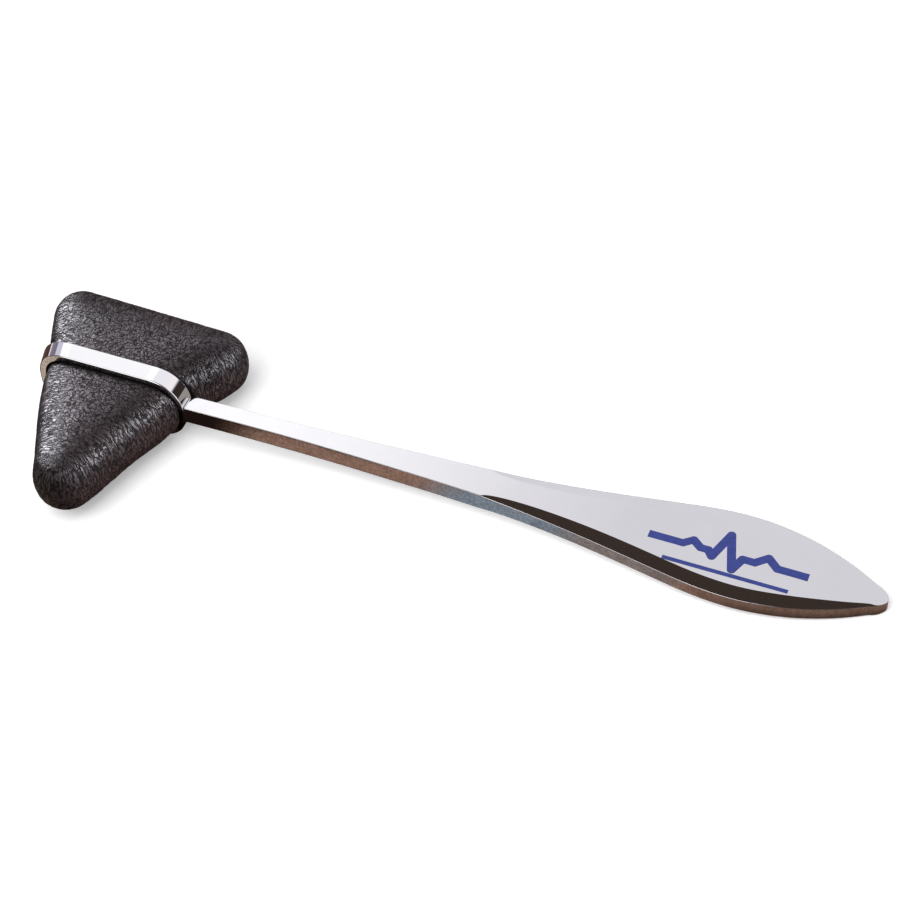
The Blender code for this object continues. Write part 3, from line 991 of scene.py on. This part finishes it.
def add_reflector(name, corners, material_name, colour_of):
    """A glowing sheet seen only in reflections."""
    obj = sheet(name, corners)
    obj.data.materials.append(emissive(material_name, colour_of))
    for rays in ("camera", "diffuse", "shadow", "transmission"):
        setattr(obj, "visible_" + rays, False)


def card_colour(net):
    """Mottled patches side by side along X, then bands laid over them along Y."""
    place = net.coordinates()
    x, y, _ = net.split(place)
    mottle = net.noise(place, scale=420.0, detail=6.0, roughness=0.72)
    broad = net.noise(place, scale=45.0, detail=3.0)
    spread = net.remap(mottle, over=(0.3, 0.7))
    brown = net.mix(spread, (0.20, 0.105, 0.070), (0.56, 0.345, 0.26))
    blue = net.mix(spread, (0.155, 0.190, 0.235), (0.42, 0.49, 0.57))
    grey = net.mix(spread, (0.17, 0.145, 0.14), (0.44, 0.40, 0.39))
    tan = net.mix(spread, (0.40, 0.31, 0.245), (0.68, 0.565, 0.46))
    floor_shade, dark, white = (0.020, 0.010, 0.008), (0.020, 0.012, 0.010), (1.0, 0.98, 0.98)
    # The patches' borders wander by up to a few millimetres
    wander = 0.012
    rough_x = net.add(x, net.times(net.minus(broad, 0.5), wander))
    grey_mask = net.band(rough_x, rise=(0.084, 0.098), fall=(0.110, 0.124))
    behind_apex = net.times(
        net.rise(y, over=(-0.0285, -0.0255)), net.fall(rough_x, over=(0.055, 0.065)))
    beyond_apex = net.times(
        net.fall(y, over=(-0.0352, -0.0342)),
        net.band(rough_x, rise=(-0.012, -0.006), fall=(0.045, 0.055)))
    under_blade = net.times(
        net.rise(y, over=(-0.0275, -0.0245)),
        net.band(x, rise=(0.070, 0.080), fall=(0.140, 0.155)))
    tone = net.layers(brown, [
        (net.band(rough_x, rise=(0.056, 0.070), fall=(0.085, 0.100)), blue),
        # Painted shade: the umber band stands for the shadowed floor beside the head, as the
        # chrome sees it
        (net.band(rough_x, rise=(-0.014, -0.004), fall=(0.008, 0.022)), floor_shade),
        (net.times(grey_mask, 0.75), grey),
        (net.fall(rough_x, over=(-0.035, -0.022)), tan),
        (behind_apex, dark),
        (beyond_apex, dark),
        (under_blade, white),
    ])
    # Dimmer toward +X
    dusk = net.minus(1.0, net.times(net.rise(rough_x, over=(0.10, 0.14)), 0.3))
    shade = net.mix(dusk, (0.0, 0.0, 0.0), (1.0, 1.0, 1.0))
    tone = net.mix(1.0, tone, shade, blend="MULTIPLY")
    taupe = net.mix(
        net.rise(x, over=(-0.12, 0.02)), (0.080, 0.040, 0.034), (0.30, 0.265, 0.245))
    return net.mix(net.rise(y, over=(0.030, 0.045)), tone, taupe)


def strip_colour(net):
    low_white, high_white, brown = (1.2, 1.2, 1.25), (1.0, 1.0, 1.05), (0.26, 0.17, 0.13)
    _, y, z = net.split(net.coordinates())
    shine = net.mix(net.rise(z, over=(-0.028, 0.03)), low_white, high_white)
    by_blade = net.times(net.rise(y, over=(-0.056, -0.050)), net.fall(z, over=(0.006, 0.010)))
    return net.mix(by_blade, shine, brown)


def room_reflection(net, direction):
    """What polished metal sees: a window behind the hammer (+Y), a dark ceiling, a warm
    dark bench below, a fill in front (-Y) and a lamp each in front and at the right (+X)."""
    dx, dy, dz = net.split(direction)

    def lamp_mask(toward, outer, inner):
        """A soft disc round a direction, its edge between two angles in degrees."""
        cosine = net.vector("DOT_PRODUCT", direction, tuple(Vector(toward).normalized()))
        edge = (math.cos(math.radians(outer)), math.cos(math.radians(inner)))
        return net.rise(cosine, over=edge)

    # The blade's far bevel looks lower down; there the tones are moved across to meet
    # the flat's
    low_view = net.fall(dz, over=(0.50, 0.64))
    across = net.add(dx, net.times(low_view, 0.05))
    window = net.mix(net.rise(across, over=(-0.35, -0.17)), (1.36, 1.35, 1.38), (0.87, 0.86, 0.91))
    window = net.mix(net.rise(across, over=(-0.372, -0.366)), (1.0, 0.99, 1.02), window)
    sky = net.mix(net.rise(dz, over=(0.04, 0.34)), (0.16, 0.14, 0.15), window)
    left = (1.30, 1.29, 1.34)
    for border, below in (
        ((0.56, 0.60), (0.60, 0.58, 0.70)),
        ((0.33, 0.37), (0.16, 0.14, 0.21)),
        ((0.24, 0.28), (0.22, 0.185, 0.225)),
        ((0.0, 0.03), (0.85, 0.83, 0.86)),
    ):
        left = net.mix(net.rise(dz, over=border), below, left)
    right = net.mix(net.rise(dz, over=(0.36, 0.50)), (0.030, 0.022, 0.021), (0.92, 0.88, 0.91))
    sky = net.layers(sky, [
        (net.rise(net.times(dx, -1.0), over=(0.42, 0.48)), left),
        (net.rise(dx, over=(0.30, 0.60)), right),
    ])
    fill, bench, ceiling = (0.15, 0.13, 0.125), (0.19, 0.135, 0.108), (0.050, 0.036, 0.030)
    front = net.layers(fill, [
        (lamp_mask((-0.26, -0.75, 0.60), outer=27, inner=17), (2.1, 2.08, 2.1)),
        (lamp_mask((0.86, -0.02, 0.46), outer=30, inner=16), (0.95, 1.0, 1.12)),
    ])
    upper = net.mix(net.rise(dy, over=(0.22, 0.42)), front, sky)
    # A glow for the loop's strip
    glow = net.times(
        net.fall(dx, over=(-0.355, -0.335)),
        net.times(net.rise(dx, over=(-0.50, -0.46)), net.rise(dz, over=(0.45, 0.60))))
    upper = net.layers(upper, [
        (net.rise(dz, over=(0.872, 0.905)), ceiling),
        (net.times(glow, net.fall(dy, over=(0.30, 0.50))), (0.80, 0.78, 0.82)),
    ])
    return net.mix(net.rise(dz, over=(-0.07, -0.05)), bench, upper)


def build_world():
    """A pale even room lights the scene; reflections see a studio."""
    world = bpy.data.worlds.new("studio")
    bpy.context.scene.world = world
    world.use_nodes = True
    world.node_tree.nodes.clear()
    net = Net(world.node_tree)
    direction = net.coordinates("Generated")
    reflected = room_reflection(net, direction)
    upward = net.rise(net.split(direction)[2], over=(-0.2, 0.6))
    soft = net.mix(upward, (0.22, 0.21, 0.21), (0.29, 0.29, 0.30))
    glossy = net.node("ShaderNodeLightPath").outputs["Is Glossy Ray"]
    colour = net.mix(glossy, soft, reflected)
    background = net.node("ShaderNodeBackground", {"Color": colour})
    net.node("ShaderNodeOutputWorld", {"Surface": background.outputs[0]})
    # The room is even enough to be found by bounces alone
    world.cycles.sampling_method = "NONE"


build_floor()
# A card under the hammer
add_reflector(
    "reflector_card",
    [(-600, -600, -30), (800, -600, -30), (800, 500, -30), (-600, 500, -30)],
    "card_brown", card_colour)
# A bright strip at the right (+X), for the line of light along the loop's near edge
add_reflector(
    "reflector_strip",
    [(150, -140, -28), (150, -18, -28), (150, -18, 75), (150, -140, 75)],
    "strip_white", strip_colour)
build_world()


# ---------------------------------------------------------------- lights

def add_light(name, shape, size, energy, where, direction):
    data = bpy.data.lights.new(name, "AREA")
    data.shape = shape
    data.size = size
    data.energy = energy
    obj = bpy.data.objects.new(name, data)
    bpy.context.scene.collection.objects.link(obj)
    obj.location = where
    obj.rotation_euler = direction.to_track_quat("-Z", "Y").to_euler()
    return obj


def add_area(name, where, size, power):
    """A square lamp aimed at the handle, unseen in reflections."""
    direction = Vector((0.05, 0.0, 0.0)) - Vector(where)
    lamp = add_light(name, "RECTANGLE", size, power, where, direction)
    lamp.data.size_y = size
    lamp.visible_glossy = False


def add_glint(name, toward, spread, radiance, colour, shadow=True):
    """A disc that lights only the rubber, seen from the head within spread degrees."""
    distance = 1.2
    where = Vector(toward).normalized() * distance
    radius = distance * math.tan(math.radians(spread))
    energy = radiance * math.pi * math.pi * radius * radius
    lamp = add_light(name, "DISK", 2 * radius, energy, where, -where)
    lamp.data.color = colour
    lamp.data.use_shadow = shadow
    lamp.light_linking.receiver_collection = rubber_only


add_area("key", where=(-0.14, -0.48, 0.78), size=0.75, power=6.3)
add_area("overhead", where=(0.05, 0.0, 0.95), size=0.8, power=1.8)

rubber_only = bpy.data.collections.new("rubber_only")
rubber_only.objects.link(head)
# Name, direction, spread, radiance, colour, casts a shadow
GLINTS = [
    ("glint_back_left", (-0.68, 0.47, 0.56), 14.0, 15.5, (0.99, 0.955, 1.04), True),
    ("glint_right", (0.90, 0.00, 0.45), 17.0, 20.5, (0.92, 0.92, 1.0), True),
    ("glint_right_back", (0.72, 0.50, 0.48), 14.0, 16.0, (0.94, 0.92, 1.0), True),
    ("glint_left", (-0.88, 0.36, 0.30), 13.0, 28.0, (0.95, 0.93, 1.02), True),
    ("glint_front", (-0.30, -0.66, 0.69), 10.0, 2.2, (1.0, 0.98, 0.96), True),
    ("glint_low", (0.72, 0.00, -0.62), 14.0, 7.0, (1.0, 0.60, 0.48), False),
]
for glint in GLINTS:
    add_glint(*glint)


# ---------------------------------------------------------------- camera

CAMERA_AT = np.array([212.49, -307.57, 399.27])
CAMERA_RIGHT = (0.93177, 0.36220, -0.02464)
CAMERA_UP = (-0.25805, 0.70853, 0.65680)


def build_camera():
    right = Vector(CAMERA_RIGHT).normalized()
    back = right.cross(Vector(CAMERA_UP).normalized()).normalized()
    up = back.cross(right).normalized()
    data = bpy.data.cameras.new("camera")
    data.sensor_width = 36.0
    data.lens = 93.709328
    data.clip_start, data.clip_end = 0.01, 20.0
    camera = bpy.data.objects.new("camera", data)
    bpy.context.scene.collection.objects.link(camera)
    turn = Matrix((right, up, back)).transposed().to_4x4()
    camera.matrix_world = Matrix.Translation(Vector(CAMERA_AT * MM)) @ turn
    bpy.context.scene.camera = camera


build_camera()
bpy.context.scene.view_settings.view_transform = "Standard"
bpy.context.scene.view_settings.look = "None"
